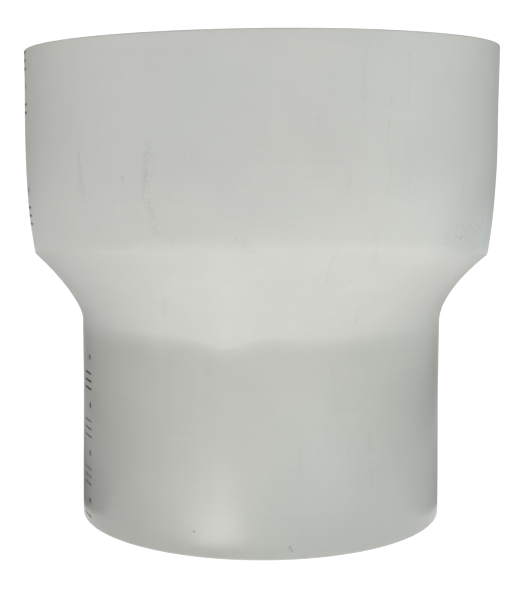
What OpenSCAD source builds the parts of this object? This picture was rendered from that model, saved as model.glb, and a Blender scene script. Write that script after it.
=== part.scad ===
/*
Eccentric pipe reducer in light grey PVC-U, fabricated from two pipe stubs and
one formed taper, butt-welded end to end. It stands on its small end. The back
(+Y) is straight, so that both pipes share one invert, and all of the reduction
is on the front (-Y). Millimetres, +Z up. The origin is on the large pipe's
axis, level with the small end's cut face.
*/

/* [Pipes] */
// Outside diameter of the large end
large_od = 250; // [230:1:280]
// Wall thickness of the large end
large_wall = 6.2; // [4:0.1:10]
// Outside diameter of the small end (the spigot)
small_od = 200; // [160:1:210]
// Wall thickness of the small end
small_wall = 4.9; // [3.5:0.1:8]

/* [Lengths] */
// Overall height, small end to large end
total_h = 255; // [240:1:320]
// Height of the weld between the small pipe and the taper
neck_z = 111; // [80:1:115]
// Height of the weld between the taper and the large pipe
collar_z = 200; // [180:1:205]

/* [Taper] */
// Height of the shoulder's crease on the large pipe's axis
crease_z = 146; // [135:1:150]
// How much higher the crease is at the front than on that axis
crease_rise = 11; // [0:0.5:16]
// Share of the whole reduction that lies below the crease
crease_share = 0.87; // [0.8:0.01:0.97]
// Curve of the slope on the left side, where 1 is straight
left_curve = 1.45; // [1:0.05:2.2]
// Curve of the slope on the right side, where 1 is straight
right_curve = 1.65; // [1:0.05:2.2]

/* [Welds] */
// Gap between the two parts at the root of a weld
root_gap = 1.5; // [1:0.1:2.5]
// Square land left on the bevelled pipe at the root
root_land = 1.5; // [1:0.1:2]
// How far the root bead stands proud of the inside wall
bead_proud = 1.2; // [0.5:0.1:2]

/* [Edges] */
// Lead-in chamfer on the outside of the small end's cut face
spigot_chamfer = 1; // [0.5:0.1:2]
// Broken edge on the outside of the large end's cut face
rim_chamfer = 0.6; // [0.3:0.1:1]

/* [Hidden] */

$fn = 180;
pvc_grey = "#cdcfca";
weld_grey = "#d3d5d0";

large_r = large_od / 2;
small_r = small_od / 2;
// The two backs are flush, so the axes are half the difference apart.
offset_y = large_r - small_r;

// The taper's skin: points around a ring, and rings below and above the crease.
ring_points = 72;
slope_rings = 9;
shoulder_rings = 5;
ring_steps = slope_rings + shoulder_rings;
shoulder_power = 2;

// How far up the slope (0 to 1), or past the crease (1 to 2), step i lies.
function stage(i) = i <= slope_rings ? i / slope_rings : 1 + (i - slope_rings) / shoulder_rings;

// Height of the crease at azimuth a, measured from +X towards +Y.
function crease_height(a) = crease_z - crease_rise * sin(a);

function slope_curve(a) = left_curve + (right_curve - left_curve) * (1 + cos(a)) / 2;

// Height of the skin at stage s.
function skin_z(s, a) =
    s <= 1 ? neck_z + s * (crease_height(a) - neck_z)
           : crease_height(a) + (s - 1) * (collar_z - crease_height(a));

// Share of the reduction passed at stage s: 0 at the neck, 1 at the collar.
function skin_share(s, a) =
    s <= 1 ? crease_share * pow(s, slope_curve(a))
           : 1 - (1 - crease_share) * pow(2 - s, shoulder_power);

// A point of the skin, with the wall's thickness taken off the radius if inset is 1.
function skin_point(s, a, inset) =
    let (
        share = skin_share(s, a),
        wall = small_wall + share * (large_wall - small_wall),
        r = small_r + share * (large_r - small_r) - inset * wall
    )
    [r * cos(a), r * sin(a) + offset_y * (1 - share), skin_z(s, a)];

// Moves what is drawn about the small pipe's axis there.
module at_small_axis() {
    translate([0, offset_y, 0]) children();
}

// A pipe stub about Z from z0 up to z1, with a chamfered outer edge on its free
// end and a weld bevel on the other. free_end is 1 for the top and 0 for the bottom.
module pipe_stub(r, wall, z0, z1, chamfer, free_end) {
    bevel = wall - root_land;
    top_cut = free_end == 1 ? chamfer : bevel;
    bottom_cut = free_end == 1 ? bevel : chamfer;
    rotate_extrude()
        polygon([
            [r - wall, z0],
            [r - bottom_cut, z0],
            [r, z0 + bottom_cut],
            [r, z1 - top_cut],
            [r - top_cut, z1],
            [r - wall, z1]
        ]);
}

// A weld about Z that fills a single bevel from the flat face at z = 0 upwards,
// dressed flush outside, with a round root bead inside. Below that face the bead
// starts a little way in, clear of the taper's facets.
module weld_ring(r, wall) {
    bevel = wall - root_land;
    inner_r = r - wall;
    bead_start = 15;
    rotate_extrude()
        polygon([
            [r, 0],
            [r, root_gap + bevel],
            [r - bevel, root_gap],
            [inner_r, root_gap],
            for (t = [bead_start : 15 : 180 - bead_start])
                [inner_r - bead_proud * sin(t), root_gap / 2 + root_gap * cos(t)],
            [inner_r - bead_proud * sin(bead_start), 0]
        ]);
}

module large_end_pipe() {
    color(pvc_grey)
        pipe_stub(large_r, large_wall, collar_z + root_gap, total_h, rim_chamfer, 1);
}

module collar_weld() {
    color(weld_grey)
        translate([0, 0, collar_z]) weld_ring(large_r, large_wall);
}

// One closed skin: the outer rings from the neck up, then the inner rings back down.
module eccentric_taper() {
    loops = 2 * (ring_steps + 1);
    points = [
        for (k = [0 : loops - 1], j = [0 : ring_points - 1])
            let (
                inset = k > ring_steps ? 1 : 0,
                step = inset == 1 ? loops - 1 - k : k
            )
            skin_point(stage(step), j * 360 / ring_points, inset)
    ];
    faces = [
        for (k = [0 : loops - 1], j = [0 : ring_points - 1])
            let (
                here = k * ring_points,
                above = (k + 1) % loops * ring_points,
                next = (j + 1) % ring_points
            )
            [here + j, above + j, above + next, here + next]
    ];
    color(pvc_grey)
        polyhedron(points, faces, convexity = 6);
}

module neck_weld() {
    color(weld_grey)
        at_small_axis()
            translate([0, 0, neck_z]) mirror([0, 0, 1]) weld_ring(small_r, small_wall);
}

module spigot_pipe() {
    color(pvc_grey)
        at_small_axis()
            pipe_stub(small_r, small_wall, 0, neck_z - root_gap, spigot_chamfer, 0);
}

large_end_pipe();
collar_weld();
eccentric_taper();
neck_weld();
spigot_pipe();
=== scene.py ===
"""The look of an eccentric pipe reducer in light grey PVC-U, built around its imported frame.

It stands on its small end. Both pipes are flush at the back (+Y), and the slope is at the
front (-Y). Azimuths are measured from the front and grow towards the right (+X).
"""
import math

import bpy
import numpy as np
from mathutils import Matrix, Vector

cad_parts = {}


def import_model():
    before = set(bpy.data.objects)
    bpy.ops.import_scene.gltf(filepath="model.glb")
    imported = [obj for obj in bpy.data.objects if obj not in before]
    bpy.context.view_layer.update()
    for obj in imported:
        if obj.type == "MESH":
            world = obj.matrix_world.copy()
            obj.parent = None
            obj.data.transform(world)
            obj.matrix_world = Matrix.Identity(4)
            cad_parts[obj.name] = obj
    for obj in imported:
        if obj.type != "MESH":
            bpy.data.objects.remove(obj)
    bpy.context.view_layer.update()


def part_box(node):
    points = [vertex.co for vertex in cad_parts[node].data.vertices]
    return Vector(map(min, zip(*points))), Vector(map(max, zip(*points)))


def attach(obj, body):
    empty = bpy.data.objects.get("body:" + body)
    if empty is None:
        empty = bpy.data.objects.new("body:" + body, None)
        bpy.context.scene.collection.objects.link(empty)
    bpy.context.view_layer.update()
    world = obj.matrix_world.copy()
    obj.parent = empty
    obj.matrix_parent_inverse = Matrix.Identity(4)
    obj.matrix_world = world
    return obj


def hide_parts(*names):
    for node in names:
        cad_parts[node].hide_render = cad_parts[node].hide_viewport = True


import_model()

MM = 0.001


# ---------------------------------------------------------------- sizes from the frame


def round_node(name):
    """Radius, axis y, lowest z and highest z of a round CAD node."""
    low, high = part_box(name)
    return (high.x - low.x) / 2, (high.y + low.y) / 2, low.z, high.z


LARGE_R, LARGE_Y, LARGE_LOW, TOP_Z = round_node("large_end_pipe")
SMALL_R, SMALL_Y, BASE_Z, SPIGOT_TOP = round_node("spigot_pipe")
NECK_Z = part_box("eccentric_taper")[0].z
COLLAR_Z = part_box("eccentric_taper")[1].z
COLLAR_WELD_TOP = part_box("collar_weld")[1].z
NECK_WELD_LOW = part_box("neck_weld")[0].z

# Walls, and the land and root bead of the welds, as in the CAD model
LARGE_WALL = 6.2 * MM
SMALL_WALL = 4.9 * MM
ROOT_LAND = 1.5 * MM
BEAD_PROUD = 1.2 * MM

# The slope and the shoulder
CREASE_Z = 146.3 * MM
CREASE_RISE = 10.9 * MM
CREASE_SHARE = 0.87
LEFT_CURVE = 1.46
RIGHT_CURVE = 1.64
# The spigot is this much larger in radius at its cut, and less so up to this height
SPIGOT_BELL = 0.9 * MM
SPIGOT_BELL_TOP = 80 * MM
# The foot of the slope has one low spot: its depth, azimuth and half width in degrees
LOW_SPOT_DEPTH = 5.0 * MM
LOW_SPOT_AZIMUTH = -10.5
LOW_SPOT_WIDTH = 6.8
# The large end's cut is this far out of square, and rises to the right
CUT_SLANT = 0.0141

AROUND = 540
AZIMUTHS = np.arange(AROUND) * 2 * math.pi / AROUND


# ---------------------------------------------------------------- the shared outer skin


def hump(angle, centre_deg, width_deg):
    """1 at an azimuth, falling off on both sides over a width in degrees."""
    away = np.angle(np.exp(1j * (angle - math.radians(centre_deg))))
    return np.exp(-((away / math.radians(width_deg)) ** 2))


def between(low, high, share):
    return low + (high - low) * share


def smooth(t):
    t = np.clip(t, 0, 1)
    return t * t * (3 - 2 * t)


def crease_height(angle):
    return CREASE_Z + CREASE_RISE * np.cos(angle)


def neck_height(angle):
    """The foot of the slope: level, but for one low spot a little left of the front."""
    low_spot = LOW_SPOT_DEPTH * hump(angle, LOW_SPOT_AZIMUTH, LOW_SPOT_WIDTH)
    return NECK_Z - low_spot - 0.8 * MM * np.cos(angle) + 0.4 * MM * np.sin(3 * angle + 1)


def sharp_share(angle, z):
    """Share of the reduction passed at height z, with the crease and the neck left sharp."""
    crease = crease_height(angle)
    neck = neck_height(angle)
    curve = between(LEFT_CURVE, RIGHT_CURVE, (1 + np.sin(angle)) / 2)
    curve = curve - 0.3 * hump(angle, -18, 38)
    up_slope = np.clip((z - neck) / (crease - neck), 0, 1)
    past_crease = np.clip((z - crease) / (COLLAR_Z - crease), 0, 1)
    slope = CREASE_SHARE * up_slope**curve
    shoulder = 1 - (1 - CREASE_SHARE) * (1 - past_crease) ** 2
    return np.where(z < crease, slope, shoulder)


def skin_share(angle, z):
    """The same with both edges rounded: crisp at the sides, softer at the front."""
    frontness = np.clip(np.cos(angle), 0, 1) ** 2
    rightness = smooth(2 * np.sin(angle) + 0.2)
    crease_width = between(1.2 * MM, 6.5 * MM, frontness)
    neck_width = between(1.2 * MM, 2.2 * MM, frontness) + 2.8 * MM * rightness
    up = smooth((z - NECK_Z) / (crease_height(angle) - NECK_Z))
    width = between(neck_width, crease_width, up)
    offsets = np.linspace(-1, 1, 9)
    weights = 1 - np.abs(offsets) * 0.8
    weights /= weights.sum()
    return sum(w * sharp_share(angle, z + o * width) for w, o in zip(weights, offsets))


def unevenness(angle, z):
    """Small departures from round that heating and shaping leave, in metres."""
    formed = smooth((z - NECK_Z) / (COLLAR_Z - NECK_Z))
    oval = 0.18 * MM * np.cos(2 * angle + 0.6) * formed
    waves = 0.16 * MM * np.sin(5 * angle + 40 * z) * np.sin(90 * z + 1.3)
    near_crease = np.exp(-(((z - crease_height(angle)) / (16 * MM)) ** 2))
    hand = 0.22 * MM * np.sin(7 * angle + 2) * near_crease
    return oval + waves * formed + hand


def wall_point(angle, z, inset, extra):
    """Points of the wall. inset runs from 0 outside to 1 inside; extra is metres further in."""
    share = skin_share(angle, z)
    radius = between(SMALL_R, LARGE_R, share)
    radius = radius + unevenness(angle, z) + SPIGOT_BELL * (1 - smooth(z / SPIGOT_BELL_TOP))
    radius = radius - inset * between(SMALL_WALL, LARGE_WALL, share) - extra
    axis_y = between(SMALL_Y, LARGE_Y, share)
    x = radius * np.sin(angle)
    y = axis_y - radius * np.cos(angle)
    slanted = np.clip((z - COLLAR_Z) / (TOP_Z - COLLAR_Z), 0, 1)
    return np.stack([x, y, z + CUT_SLANT * x * slanted], axis=-1)


# ---------------------------------------------------------------- mesh


def closed_skin(name, stations, materials, ripple=None):
    """A ring whose section is the closed path of stations (z, inset, extra, material number).

    ripple(angle, station number) gives metres of extra depth, for a weld's bead.
    """
    rows = len(stations)
    angle = np.tile(AZIMUTHS, (rows, 1))
    z, inset, extra = (
        np.array([s[k] for s in stations])[:, None] + 0 * angle for k in range(3)
    )
    if ripple is not None:
        extra = extra + ripple(angle, np.arange(rows)[:, None])
    points = wall_point(angle, z, inset, extra).reshape(-1, 3)
    here = np.arange(rows * AROUND).reshape(rows, AROUND)
    above = np.roll(here, -1, axis=0)
    quads = np.stack(
        [here, np.roll(here, -1, axis=1), np.roll(above, -1, axis=1), above], axis=-1
    )
    down_the_outside = stations[1][0] < stations[0][0]
    if down_the_outside:
        quads = quads[:, :, ::-1]
    mesh = bpy.data.meshes.new(name)
    mesh.from_pydata(points.tolist(), [], quads.reshape(-1, 4).tolist())
    for material in materials:
        mesh.materials.append(material)
    numbers = np.repeat([s[3] for s in stations], AROUND)
    mesh.polygons.foreach_set("material_index", numbers.astype(np.int32))
    mesh.polygons.foreach_set("use_smooth", np.ones(rows * AROUND, bool))
    mesh.set_sharp_from_angle(angle=math.radians(40))
    mesh.validate()
    piece = bpy.data.objects.new(name, mesh)
    bpy.context.scene.collection.objects.link(piece)
    return piece


def along(z_from, z_to, step, inset, number):
    """Stations up or down one face of the wall."""
    count = max(2, int(round(abs(z_to - z_from) / step)) + 1)
    return [(z, inset, 0.0, number) for z in np.linspace(z_from, z_to, count)]


def from_seam(z_from, z_to, step):
    """Stations up or down the outside, fine at first, so that no line shows at the seam."""
    z_fine = z_from + math.copysign(2 * MM, z_to - z_from)
    return along(z_from, z_fine, SEAM_STEP, 0.0, 0)[:-1] + along(z_fine, z_to, step, 0.0, 0)


def rounded_end(z_end, up, radius, wall, outside, cut, inside):
    """Stations over a cut end, with both edges rounded. up is 1 at a top and -1 at a bottom."""
    turns = np.radians([15, 35, 55, 75])
    face_steps = np.linspace(radius, wall - radius, 6)
    over = [
        (z_end - up * radius * (1 - math.sin(t)), 0.0, radius * (1 - math.cos(t)), outside)
        for t in turns
    ]
    face = [(z_end, 0.0, depth, cut) for depth in face_steps]
    back = [
        (z_end - up * radius * (1 - math.sin(t)), 1.0, -radius * (1 - math.cos(t)), inside)
        for t in turns[::-1]
    ]
    return over + face + back


# ---------------------------------------------------------------- materials


class Graph:
    """Builds one material's nodes."""

    def __init__(self, name):
        self.material = bpy.data.materials.new(name)
        self.material.use_nodes = True
        self.tree = self.material.node_tree
        self.tree.nodes.clear()

    def feed(self, socket, value):
        if isinstance(value, bpy.types.NodeSocket):
            self.tree.links.new(value, socket)
        else:
            socket.default_value = value

    def node(self, kind, inputs, **settings):
        new = self.tree.nodes.new(kind)
        for key, value in settings.items():
            setattr(new, key, value)
        for key, value in inputs.items():
            self.feed(new.inputs[key], value)
        return new

    def math(self, operation, *values):
        return self.node("ShaderNodeMath", dict(enumerate(values)), operation=operation).outputs[0]

    def distance(self, across, up):
        squares = (self.math("POWER", across, 2.0), self.math("POWER", up, 2.0))
        return self.math("SQRT", self.math("ADD", *squares))

    def ramp(self, value, low, high, to_low=0.0, to_high=1.0):
        """value mapped smoothly from low..high to to_low..to_high."""
        new = self.node(
            "ShaderNodeMapRange",
            {"Value": value, "From Min": low, "From Max": high, "To Min": to_low, "To Max": to_high},
            interpolation_type="SMOOTHSTEP",
        )
        return new.outputs["Result"]

    def noise(self, vector, scale, detail=2.0, roughness=0.5):
        new = self.node(
            "ShaderNodeTexNoise",
            {"Vector": vector, "Scale": scale, "Detail": detail, "Roughness": roughness},
        )
        return new.outputs["Fac"]

    def stretch(self, vector, x, y, z):
        return self.node("ShaderNodeMapping", {"Vector": vector, "Scale": (x, y, z)}).outputs[0]

    def blend(self, share, first, second):
        new = self.tree.nodes.new("ShaderNodeMix")
        new.data_type = "RGBA"
        self.feed(new.inputs[0], share)
        self.feed(new.inputs[6], first)
        self.feed(new.inputs[7], second)
        return new.outputs[2]

    def total(self, *weighted):
        """0.5 plus each (value, weight) pair's departure from 0.5."""
        result = 0.5
        for value, weight in weighted:
            centred = self.math("SUBTRACT", value, 0.5)
            result = self.math("MULTIPLY_ADD", centred, weight, result)
        return result

    def finish(self, colour, roughness, height, relief, specular=0.42):
        bump = self.node("ShaderNodeBump", {"Height": height, "Distance": relief, "Strength": 1.0})
        shader = self.node(
            "ShaderNodeBsdfPrincipled",
            {
                "Base Color": colour,
                "Roughness": roughness,
                "IOR": 1.53,
                "Specular IOR Level": specular,
                "Normal": bump.outputs[0],
            },
        )
        out = self.node("ShaderNodeOutputMaterial", {"Surface": shader.outputs[0]})
        out.is_active_output = True
        return self.material


def shade(colour, factor):
    return tint(colour, (factor,) * 3)


def tint(colour, factors):
    """A colour with its red, green and blue each taken times a factor, and an alpha of 1."""
    return tuple(min(1.0, c * f) for c, f in zip(colour, factors)) + (1.0,)


def stroke_mask(g, around, z, grain, stroke):
    """1 on a scuff: a broken line up the wall, at an azimuth, from one height to another."""
    azimuth, low, high, half_width, lean, strength = stroke
    centre = g.math("MULTIPLY_ADD", g.math("SUBTRACT", z, low * MM), lean, math.radians(azimuth))
    wander = g.math("MULTIPLY", g.math("SUBTRACT", grain, 0.5), 0.05)
    away = g.math("ABSOLUTE", g.math("SUBTRACT", g.math("ADD", around, wander), centre))
    across = g.ramp(away, 0.0, half_width * MM / LARGE_R, 1.0, 0.0)
    lower = g.ramp(z, (low - 3) * MM, (low + 4) * MM)
    upper = g.ramp(z, (high - 4) * MM, (high + 3) * MM, 1.0, 0.0)
    strong = g.math("MULTIPLY", across, strength)
    return g.math("MULTIPLY", strong, g.math("MULTIPLY", lower, upper))


def dot_mask(g, around, z, dot):
    """1 on a small dark dot: azimuth in degrees, z and radius in mm, strength."""
    azimuth, height, radius, strength = dot
    across = g.math("MULTIPLY", g.math("SUBTRACT", around, math.radians(azimuth)), LARGE_R)
    away = g.distance(across, g.math("SUBTRACT", z, height * MM))
    return g.ramp(away, 0.5 * radius * MM, 1.2 * radius * MM, strength, 0.0)


def patch_mask(g, around, z, azimuth, height, half_turn, half_height):
    """1 in the middle of an oval patch, falling off smoothly to its edge."""
    turn = g.math("SUBTRACT", around, math.radians(azimuth))
    across = g.math("DIVIDE", turn, math.radians(half_turn))
    up = g.math("DIVIDE", g.math("SUBTRACT", z, height * MM), half_height * MM)
    return g.ramp(g.distance(across, up), 0.35, 1.0, 1.0, 0.0)


def ink_mask(g, around, z, radius, azimuth, first, spans):
    """A worn printed line up the wall: sets of three plain bars with a dot between the sets."""
    turn = g.math("SUBTRACT", around, math.radians(azimuth))
    across = g.math("ABSOLUTE", g.math("MULTIPLY", turn, radius))
    along_set = g.math("WRAP", g.math("SUBTRACT", z, first), INK_PERIOD / 2, -INK_PERIOD / 2)
    bar = g.math("ABSOLUTE", g.math("WRAP", along_set, INK_PITCH / 2, -INK_PITCH / 2))
    thin = g.math("LESS_THAN", bar, INK_BAR_HALF_WIDTH)
    bars = g.math("MULTIPLY", thin, g.math("LESS_THAN", across, INK_BAR_HALF_LENGTH))
    in_set = g.math("LESS_THAN", g.math("ABSOLUTE", along_set), INK_SET_HALF_LENGTH)
    bars = g.math("MULTIPLY", bars, in_set)
    dot_along = g.math("SUBTRACT", INK_PERIOD / 2, g.math("ABSOLUTE", along_set))
    dot_across = g.math("SUBTRACT", g.math("MULTIPLY", turn, radius), INK_DOT_OFFSET)
    from_dot = g.distance(dot_along, dot_across)
    printed = g.math("MAXIMUM", bars, g.math("LESS_THAN", from_dot, INK_DOT_RADIUS))
    within = 0.0
    for low, high in spans:
        inside = g.math(
            "MULTIPLY", g.math("GREATER_THAN", z, low * MM), g.math("LESS_THAN", z, high * MM)
        )
        within = g.math("MAXIMUM", within, inside)
    return g.math("MULTIPLY", printed, within)


def pvc(
    name, colour, roughness, axis_y, strokes=(), dots=(), ink=None, near_neck=None, cool_shade_and_pits=False
):
    """Light grey PVC: faint mottling, lines along the pipe, specks, scuffs and a printed line.

    near_neck is the colour and the roughness that it takes on towards the neck. The flag
    after it paints cool shade on the right shoulder, deepest just above the crease, and adds real
    pits there.
    """
    g = Graph(name)
    place = g.node("ShaderNodeTexCoord", {}).outputs["Object"]
    apart = g.node("ShaderNodeSeparateXYZ", {"Vector": place})
    x, y, z = apart.outputs
    around = g.math("ARCTAN2", x, g.math("SUBTRACT", axis_y, y))

    mottle = g.noise(place, 14.0, 3.0)
    cloud = g.noise(place, 70.0, 4.0, 0.6)
    streaks = g.noise(g.stretch(place, 240.0, 240.0, 9.0), 1.0, 4.0, 0.6)
    hairlines = g.noise(g.stretch(place, 1300.0, 1300.0, 30.0), 1.0, 3.0, 0.6)
    rings = g.noise(g.stretch(place, 14.0, 14.0, 520.0), 1.0, 3.0, 0.6)
    grain = g.noise(place, 1700.0, 3.0, 0.6)

    tone = g.total(
        (mottle, 0.5),
        (cloud, 0.35),
        (streaks, 0.2),
        (hairlines, 0.12),
        (rings, 0.25),
        (grain, 0.25),
    )
    tone = g.ramp(tone, 0.1, 0.9)
    plain = g.blend(tone, shade(colour, DARKEST), shade(colour, PALEST))
    by_neck = 0.0
    if near_neck is not None:
        neck_colour, neck_roughness = near_neck
        turn = g.math("SUBTRACT", around, math.radians(LOW_SPOT_AZIMUTH))
        turn = g.math("DIVIDE", turn, math.radians(LOW_SPOT_WIDTH))
        low_spot = g.math("EXPONENT", g.math("MULTIPLY", g.math("POWER", turn, 2.0), -1.0))
        foot = g.math("MULTIPLY_ADD", low_spot, LOW_SPOT_DEPTH, z)
        by_neck = g.ramp(foot, NECK_Z - 9 * MM, NECK_Z + 1 * MM)
        formed = g.blend(tone, shade(neck_colour, DARKEST), shade(neck_colour, PALEST))
        plain = g.blend(by_neck, plain, formed)
    cool = g.ramp(g.noise(place, 9.0, 2.0), 0.45, 0.75, 0.0, 0.35)
    tinted = g.blend(cool, plain, tint(colour, COOL_TINT))

    # Painted shade in a cool tint on the right shoulder: a wide darker, bluer patch and a deeper one
    # just above the crease.
    if cool_shade_and_pits:
        wide = patch_mask(g, around, z, *WIDE_COOL_SHADE)
        tinted = g.blend(wide, tinted, tint(colour, WIDE_COOL_SHADE_TINT))
        crease = g.math("MULTIPLY_ADD", g.math("COSINE", around), CREASE_RISE, CREASE_Z)
        above = g.ramp(g.math("SUBTRACT", z, crease), -4 * MM, 5 * MM)
        deep = g.math("MULTIPLY", patch_mask(g, around, z, *DEEP_COOL_SHADE), above)
        deep = g.math("MULTIPLY", deep, g.ramp(cloud, 0.2, 0.6, 0.7, 1.0))
        tinted = g.blend(deep, tinted, tint(colour, DEEP_COOL_SHADE_TINT))

    cells = g.node("ShaderNodeTexVoronoi", {"Vector": place, "Scale": 75.0}).outputs["Distance"]
    sparse = g.ramp(g.noise(place, 27.0, 2.0), 0.56, 0.62)
    specks = g.math("MULTIPLY", g.ramp(cells, 0.02, 0.055, 1.0, 0.0), sparse)
    broken = g.ramp(g.noise(g.stretch(place, 640.0, 640.0, 480.0), 1.0, 4.0, 0.7), 0.38, 0.66)
    marks = g.math("MULTIPLY", specks, 0.3)
    for stroke in strokes:
        mask = g.math("MULTIPLY", stroke_mask(g, around, z, cloud, stroke), broken)
        marks = g.math("MAXIMUM", marks, mask)
    for dot in dots:
        marks = g.math("MAXIMUM", marks, dot_mask(g, around, z, dot))
    # Real pits in the surface, just above the crease on the right shoulder.
    if cool_shade_and_pits:
        pits = g.node("ShaderNodeTexVoronoi", {"Vector": place, "Scale": 300.0}).outputs["Distance"]
        pits = g.math("MULTIPLY", g.ramp(pits, 0.12, 0.4, 0.3, 0.0), g.ramp(cloud, 0.38, 0.52))
        pitted = g.math("MULTIPLY", patch_mask(g, around, z, *PITTED), above)
        marks = g.math("MAXIMUM", marks, g.math("MULTIPLY", pits, pitted))
    dirty = g.blend(marks, tinted, DIRT)
    if ink is not None:
        worn = g.ramp(cloud, 0.35, 0.5, 0.6, 0.96)
        printed = g.math("MULTIPLY", ink_mask(g, around, z, **ink), worn)
        dirty = g.blend(printed, dirty, INK)

    gloss = g.total((cloud, 0.5), (streaks, 0.35), (grain, 0.4))
    rough = g.ramp(gloss, 0.1, 0.9, roughness - 0.07, roughness + 0.09)
    rough = g.math("MULTIPLY_ADD", marks, 0.15, rough)
    if near_neck is not None:
        rough = g.math("MULTIPLY_ADD", by_neck, neck_roughness - roughness, rough)
    height = g.total((grain, 0.35), (hairlines, 0.2), (streaks, 0.35), (rings, 0.3))
    return g.finish(dirty, rough, height, 0.00012)


def cut_face(name, colour):
    """A sawn end: paler and rougher, with straight saw lines across it."""
    g = Graph(name)
    place = g.node("ShaderNodeTexCoord", {}).outputs["Object"]
    lines = g.noise(g.stretch(place, 14.0, 1500.0, 14.0), 1.0, 3.0, 0.7)
    chatter = g.noise(g.stretch(place, 60.0, 260.0, 60.0), 1.0, 2.0)
    grain = g.noise(place, 2500.0, 2.0)
    tone = g.total((lines, 0.8), (chatter, 0.5), (grain, 0.4))
    plain = g.blend(g.ramp(tone, 0.1, 0.9), shade(colour, 0.84), shade(colour, 1.1))
    height = g.total((lines, 1.0), (chatter, 0.7), (grain, 0.3))
    return g.finish(plain, g.ramp(tone, 0.0, 1.0, 0.55, 0.75), height, 0.0003)


# The printed line: from one set of bars to the next, and from bar to bar
INK_PERIOD = 26.2 * MM
INK_PITCH = 4.2 * MM
INK_BAR_HALF_WIDTH = 0.6 * MM
INK_BAR_HALF_LENGTH = 7 * MM
INK_SET_HALF_LENGTH = 6 * MM
INK_DOT_OFFSET = 4.6 * MM
INK_DOT_RADIUS = 1.6 * MM

LIGHT_GREY = (0.515, 0.52, 0.487)
SPIGOT_GREY = (0.457, 0.463, 0.429)
DIRT = (0.2, 0.2, 0.18, 1.0)
INK = (0.018, 0.018, 0.02, 1.0)
# The mottling's darkest and palest, as factors of the colour, and its cooler patches
DARKEST, PALEST = 0.93, 1.05
COOL_TINT = (0.955, 0.985, 1.02)

# Painted cool shade on the right shoulder, wide and deep, and the real pits there. A patch is
# azimuth and half turn in degrees, height and half height in mm, in the order azimuth, height, half
# turn, half height.
WIDE_COOL_SHADE = (60, 195, 32, 62)
WIDE_COOL_SHADE_TINT = (0.94, 0.958, 0.975)
DEEP_COOL_SHADE = (66, 166, 27, 36)
DEEP_COOL_SHADE_TINT = (0.85, 0.885, 0.905)
PITTED = (61, 160, 20, 17)

# Scuffs: azimuth in degrees, lowest and highest z in mm, half width in mm, lean, strength
BODY_STROKES = [
    (-23.4, 163, 182, 3.6, -0.9, 0.22),
    (-24.8, 180, 206, 4.0, 0.7, 0.26),
    (-19.5, 160, 165, 4.0, 0.0, 0.15),
    (-42.6, 180, 201, 2.8, 0.0, 0.25),
    (-42.6, 183, 188, 3.4, 0.0, 0.19),
    (11.7, 213, 222, 2.0, 0.0, 0.11),
    (18.3, 183, 196, 2.6, 0.0, 0.12),
    (21.3, 215, 252, 2.0, 0.0, 0.10),
    (27.4, 180, 228, 2.0, 0.0, 0.10),
    (32.3, 180, 248, 1.8, 0.0, 0.09),
    (50.7, 177, 200, 2.6, 0.6, 0.11),
    (-3.2, 156, 163, 4.2, -3.0, 0.17),
    (48, 158, 164, 4.0, -6.0, 0.17),
    (17.6, 138, 158, 2.4, -0.8, 0.12),
    (28.5, 146, 166, 2.2, -3.0, 0.10),
    (35.5, 112, 131, 2.2, -2.4, 0.13),
    (-34, 120, 132, 3.2, 6.0, 0.13),
    (48, 108, 114, 2.6, 0.0, 0.15),
]
BODY_DOTS = [
    (-30.4, 189.6, 1.3, 0.17),
    (-35.6, 237.4, 1.3, 0.06),
    (-31.5, 237.0, 1.1, 0.05),
    (-5.4, 163.0, 0.8, 0.12),
    (-1.5, 157.0, 0.9, 0.12),
]
SPIGOT_STROKES = [
    (20.9, 82, 100, 2.4, 0.2, 0.13),
    (21.5, 72, 77, 2.6, 0.0, 0.15),
    (28.5, 72, 77, 2.2, 0.0, 0.13),
    (34, 28, 62, 2.2, -0.3, 0.14),
    (26, 46, 54, 2.4, 0.0, 0.13),
    (45, 48, 55, 2.8, 0.0, 0.17),
    (11, 40, 60, 1.8, 0.0, 0.10),
]
SPIGOT_DOTS = [(-19.3, 13.2, 0.8, 0.75), (8.3, 6.6, 1.0, 0.5), (8.9, 5.0, 0.9, 0.4)]

# Colour and roughness that the spigot takes on towards the neck
NEAR_NECK = (LIGHT_GREY, 0.48)
# The spans are in mm: the print is worn off between them
BODY_INK = {
    "radius": LARGE_R,
    "azimuth": -75.5,
    "first": 247.5 * MM,
    "spans": [(218, 254), (160, 184)],
}
SPIGOT_INK = {"radius": SMALL_R, "azimuth": -69.5, "first": 79 * MM, "spans": [(1, 96)]}

large_skin = pvc(
    "pvc_large_end", LIGHT_GREY, 0.5, LARGE_Y, BODY_STROKES, BODY_DOTS, BODY_INK, cool_shade_and_pits=True
)
taper_skin = pvc(
    "pvc_taper", LIGHT_GREY, 0.5, LARGE_Y, BODY_STROKES, BODY_DOTS, BODY_INK, cool_shade_and_pits=True
)
collar_skin = pvc("pvc_collar_weld", LIGHT_GREY, 0.5, LARGE_Y, BODY_STROKES, cool_shade_and_pits=True)
spigot_skin = pvc(
    "pvc_spigot", SPIGOT_GREY, 0.31, SMALL_Y, SPIGOT_STROKES, SPIGOT_DOTS, SPIGOT_INK, NEAR_NECK
)
neck_skin = pvc("pvc_neck_weld", SPIGOT_GREY, 0.31, SMALL_Y, near_neck=NEAR_NECK)
bore_skin = pvc("pvc_bore", SPIGOT_GREY, 0.34, LARGE_Y)
sawn = cut_face("pvc_sawn", LIGHT_GREY)


# ---------------------------------------------------------------- the five pieces

FINE = 1.2 * MM
SEAM_STEP = 0.25 * MM
COARSE = 4 * MM
RIM_EDGE = 0.7 * MM
SPIGOT_EDGE = 1.0 * MM
# How far the dressed welds lie under the pipes' skin
DRESSED_BELOW = 0.01 * MM


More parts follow.
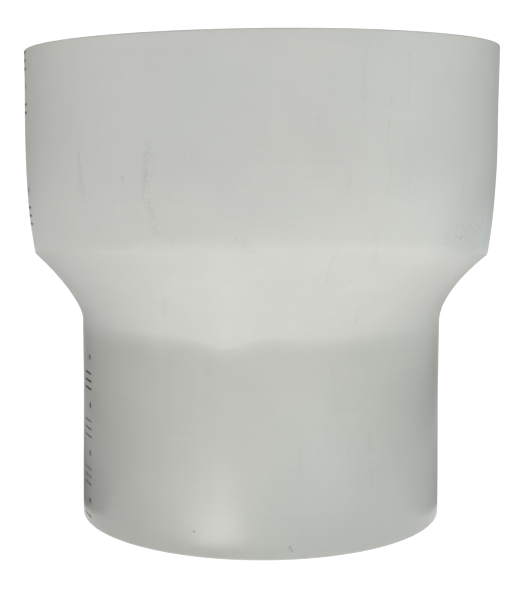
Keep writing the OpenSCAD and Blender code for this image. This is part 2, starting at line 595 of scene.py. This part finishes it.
def bead(z_from, z_to, wall):
    """Stations over a weld's root bead, from one side of the root to the other."""
    turns = np.radians(np.arange(0, 181, 15))
    middle = (z_from + z_to) / 2
    half = (z_from - z_to) / 2 * 1.9
    return [(middle + half * math.cos(t), 1.0, BEAD_PROUD * math.sin(t), 0) for t in turns]


def bead_ripple(first, count):
    """Scale-like ripples round the bead, which the outside of the weld doesn't have."""

    def depth(angle, station):
        on_bead = (station > first) & (station < first + count - 1)
        scales = 0.22 * MM * np.abs(np.sin(95 * angle)) + 0.12 * MM * np.sin(23 * angle + 1)
        return np.where(on_bead, scales, 0)

    return depth


def weld_ring(name, z_flat, z_land, z_bevel_end, wall, skin):
    outside = along(z_flat, z_bevel_end, SEAM_STEP, 0.0, 0)
    dressed = [(z, inset, DRESSED_BELOW, number) for z, inset, _, number in outside]
    groove = [(z_land, 0.0, wall - ROOT_LAND, 0)]
    root = bead(z_land, z_flat, wall)
    stations = dressed + groove + root
    ripple = bead_ripple(len(dressed) + len(groove), len(root))
    return closed_skin(name, stations, [skin], ripple)


large_end = closed_skin(
    "large_end_shell",
    from_seam(COLLAR_WELD_TOP, TOP_Z - RIM_EDGE, FINE)
    + rounded_end(TOP_Z, 1, RIM_EDGE, LARGE_WALL, 0, 2, 1)
    + along(TOP_Z - RIM_EDGE, LARGE_LOW, COARSE, 1.0, 1)
    + [(LARGE_LOW, 0.0, LARGE_WALL - ROOT_LAND, 1)],
    [large_skin, bore_skin, sawn],
)
collar = weld_ring("collar_weld_ring", COLLAR_Z, LARGE_LOW, COLLAR_WELD_TOP, LARGE_WALL, collar_skin)
taper = closed_skin(
    "taper_shell",
    from_seam(NECK_Z, COLLAR_Z, 0.8 * MM) + along(COLLAR_Z, NECK_Z, 1.6 * MM, 1.0, 1),
    [taper_skin, bore_skin],
)
neck = weld_ring("neck_weld_ring", NECK_Z, SPIGOT_TOP, NECK_WELD_LOW, SMALL_WALL, neck_skin)
spigot = closed_skin(
    "spigot_shell",
    from_seam(NECK_WELD_LOW, BASE_Z + SPIGOT_EDGE, FINE)
    + rounded_end(BASE_Z, -1, SPIGOT_EDGE, SMALL_WALL, 0, 2, 1)
    + along(BASE_Z + SPIGOT_EDGE, SPIGOT_TOP, COARSE, 1.0, 1)
    + [(SPIGOT_TOP, 0.0, SMALL_WALL - ROOT_LAND, 1)],
    [spigot_skin, bore_skin, sawn],
)

for piece, node, slot in [
    (large_end, "large_end_pipe", "large_pipe_plastic"),
    (collar, "collar_weld", "weld_plastic"),
    (taper, "eccentric_taper", "taper_plastic"),
    (neck, "neck_weld", "weld_plastic"),
    (spigot, "spigot_pipe", "spigot_plastic"),
]:
    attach(piece, "root")
    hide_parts(node)


# ---------------------------------------------------------------- floor, light and camera


def stage_material(name, glow):
    """A pale ground that glows, like a light table."""
    g = Graph(name)
    place = g.node("ShaderNodeTexCoord", {}).outputs["Object"]
    tone = g.noise(place, 6.0, 2.0)
    colour = g.blend(tone, (0.26, 0.26, 0.258, 1.0), (0.3, 0.3, 0.298, 1.0))
    material = g.finish(colour, g.ramp(tone, 0.0, 1.0, 0.85, 0.95), tone, 0.0001, 0.1)
    shader = next(n for n in g.tree.nodes if n.type == "BSDF_PRINCIPLED")
    shader.inputs["Emission Color"].default_value = (1.0, 1.0, 1.0, 1.0)
    shader.inputs["Emission Strength"].default_value = glow
    return material


def ground():
    """A floor that curves up into a wall far behind, so that no horizon shows."""
    half_width = 4.0
    path = [(-3.0, 0.0), (2.0, 0.0)]
    path += [(2.0 + math.sin(t), 1 - math.cos(t)) for t in np.radians(np.arange(10, 91, 10))]
    path += [(3.0, 4.0)]
    points = [(side * half_width, y, z) for y, z in path for side in (-1, 1)]
    faces = [(2 * k, 2 * k + 1, 2 * k + 3, 2 * k + 2) for k in range(len(path) - 1)]
    mesh = bpy.data.meshes.new("ground")
    mesh.from_pydata(points, [], faces)
    mesh.polygons.foreach_set("use_smooth", np.ones(len(faces), bool))
    mesh.materials.append(stage_material("pale_ground", STAGE_GLOW))
    floor = bpy.data.objects.new("ground", mesh)
    bpy.context.scene.collection.objects.link(floor)


def backdrop():
    """A white ring far round the stage, seen by the camera only, so that no view looks past it."""
    radius, low, top = 7.0, -0.5, 7.0
    turns = np.radians(np.arange(0, 360, 5))
    points = [(radius * math.sin(t), -radius * math.cos(t), z) for z in (low, top) for t in turns]
    count = len(turns)
    faces = [(k, (k + 1) % count, (k + 1) % count + count, k + count) for k in range(count)]
    mesh = bpy.data.meshes.new("backdrop")
    mesh.from_pydata(points, [], faces)
    mesh.materials.append(stage_material("white_backdrop", 1.0))
    ring = bpy.data.objects.new("backdrop", mesh)
    ring.visible_diffuse = ring.visible_glossy = ring.visible_shadow = False
    bpy.context.scene.collection.objects.link(ring)


def black_felt(name):
    g = Graph(name)
    place = g.node("ShaderNodeTexCoord", {}).outputs["Object"]
    felt = g.noise(place, 900.0)
    colour = g.blend(felt, (0.008, 0.008, 0.008, 1.0), (0.014, 0.014, 0.014, 1.0))
    return g.finish(colour, 1.0, felt, 0.0002, 0.0)


def hidden_card(name, corners, glow=None):
    """A black card out of the camera's sight, which the part only reflects.

    With a glow it is a dim grey card instead.
    """
    mesh = bpy.data.meshes.new(name)
    mesh.from_pydata(corners, [], [(0, 1, 2, 3)])
    mesh.materials.append(black_felt(name) if glow is None else stage_material(name, glow))
    card = bpy.data.objects.new(name, mesh)
    card.visible_camera = False
    bpy.context.scene.collection.objects.link(card)


def side_card(name, x, front, low, front_top, top, glow=None):
    """A card that stands along the part's side. Its front corner may be lower than its top."""
    back = CARD_BACK_Y
    corners = [(x, front, low), (x, back, low), (x, back, top), (x, front, front_top)]
    hidden_card(name, corners, glow)


def back_card(name, near, far):
    """A raised card behind the part's edge, across the view, between two x."""
    y, low, top = CARD_BACK_Y, 0.13, 0.5
    hidden_card(name, [(near, y, low), (far, y, low), (far, y, top), (near, y, top)])


def floor_card(name, x_from, x_to, y_from, y_to, glow):
    """A card that lies on the ground and glows less than it."""
    z = 0.003
    corners = [(x_from, y_from, z), (x_to, y_from, z), (x_to, y_to, z), (x_from, y_to, z)]
    hidden_card(name, corners, glow)


def lamp(name, width, height, power, location, rotation, colour=(1.0, 1.0, 1.0)):
    light = bpy.data.lights.new(name, "AREA")
    light.shape = "RECTANGLE"
    light.size = width
    light.size_y = height
    light.energy = power
    light.color = colour
    holder = bpy.data.objects.new(name, light)
    holder.location = location
    holder.rotation_euler = rotation
    holder.visible_camera = False
    bpy.context.scene.collection.objects.link(holder)


def soft_box(name, azimuth, elevation, distance, width, height, power, colour=(1.0, 1.0, 1.0)):
    """A soft box that looks at the middle of the part from an azimuth and an elevation."""
    turn, rise = math.radians(azimuth), math.radians(elevation)
    location = (
        distance * math.sin(turn) * math.cos(rise),
        -distance * math.cos(turn) * math.cos(rise),
        TOP_Z / 2 + distance * math.sin(rise),
    )
    lamp(name, width, height, power, location, (math.pi / 2 - rise, 0, turn), colour)


def floor_panel(name, x, y, width, depth, power, azimuth=0.0):
    """A lit panel that lies on the floor, looks up, and points its depth along an azimuth."""
    lamp(name, width, depth, power, (x, y, 0.004), (math.pi, 0, math.radians(azimuth)))


def camera():
    eye = bpy.data.cameras.new("camera")
    eye.lens = CAMERA_LENS
    eye.sensor_width = 36
    eye.clip_start = 0.01
    view = bpy.data.objects.new("camera", eye)
    view.location = CAMERA_PLACE
    view.rotation_euler = (math.radians(90 - CAMERA_DIP), math.radians(CAMERA_ROLL), 0)
    bpy.context.scene.collection.objects.link(view)
    bpy.context.scene.camera = view


def world():
    """No light from beyond the stage."""
    dark = bpy.data.worlds.new("studio")
    dark.use_nodes = True
    dark.node_tree.nodes["Background"].inputs["Strength"].default_value = 0.0
    bpy.context.scene.world = dark


# The camera that the photograph's outline was fitted with. Dip and roll are in degrees.
CAMERA_LENS = 75.76
CAMERA_PLACE = (-0.3 * MM, -673.5 * MM, 199.2 * MM)
CAMERA_DIP = 6.34
CAMERA_ROLL = -0.16

STAGE_GLOW = 0.96
CARD_BACK_Y = 0.36
# Two of the right-hand lights are a little cooler than the rest
COOL = (0.93, 0.98, 1.0)

bpy.context.scene.view_settings.view_transform = "Standard"
ground()
world()
backdrop()
side_card("card_left", -0.235, -0.32, 0.0, 0.088, 0.088, 0.0)
side_card("card_right", 0.235, -0.32, 0.0, 0.05, 0.088, 0.07)
side_card("card_high_left", -0.3, 0.0, 0.15, 0.4, 0.4)
side_card("card_high_right", 0.3, 0.0, 0.15, 0.4, 0.4)
back_card("card_back_left", -0.16, -0.42)
back_card("card_back_right", 0.16, 0.42)
floor_card("card_floor_left", -0.2, -0.103, -0.02, 0.4, 0.17)
floor_card("card_floor_right", 0.103, 0.2, -0.02, 0.4, 0.35)
floor_card("card_floor_front", -0.3, 0.1, -0.66, -0.34, 0.0)
soft_box("overhead", 0, 90, 2.2, 0.5, 0.5, 7)
soft_box("front_low", 0, 5, 2.4, 3.0, 0.5, 18.6)
soft_box("front_right", 40, 25, 2.4, 1.4, 1.2, 2.7)
soft_box("left", -63, 15, 2.4, 1.2, 1.2, 18.8)
soft_box("right_front", 60, 8, 2.4, 1.2, 0.8, 5.6, COOL)
soft_box("right_high", 75, 45, 2.2, 1.2, 1.2, 11.7, COOL)
floor_panel("floor_right", 0.22, -0.26, 0.25, 0.25, 0.3)
floor_panel("floor_strip", -0.0935, -0.2362, 0.03, 0.335, 0.0508, -24.8)
camera()
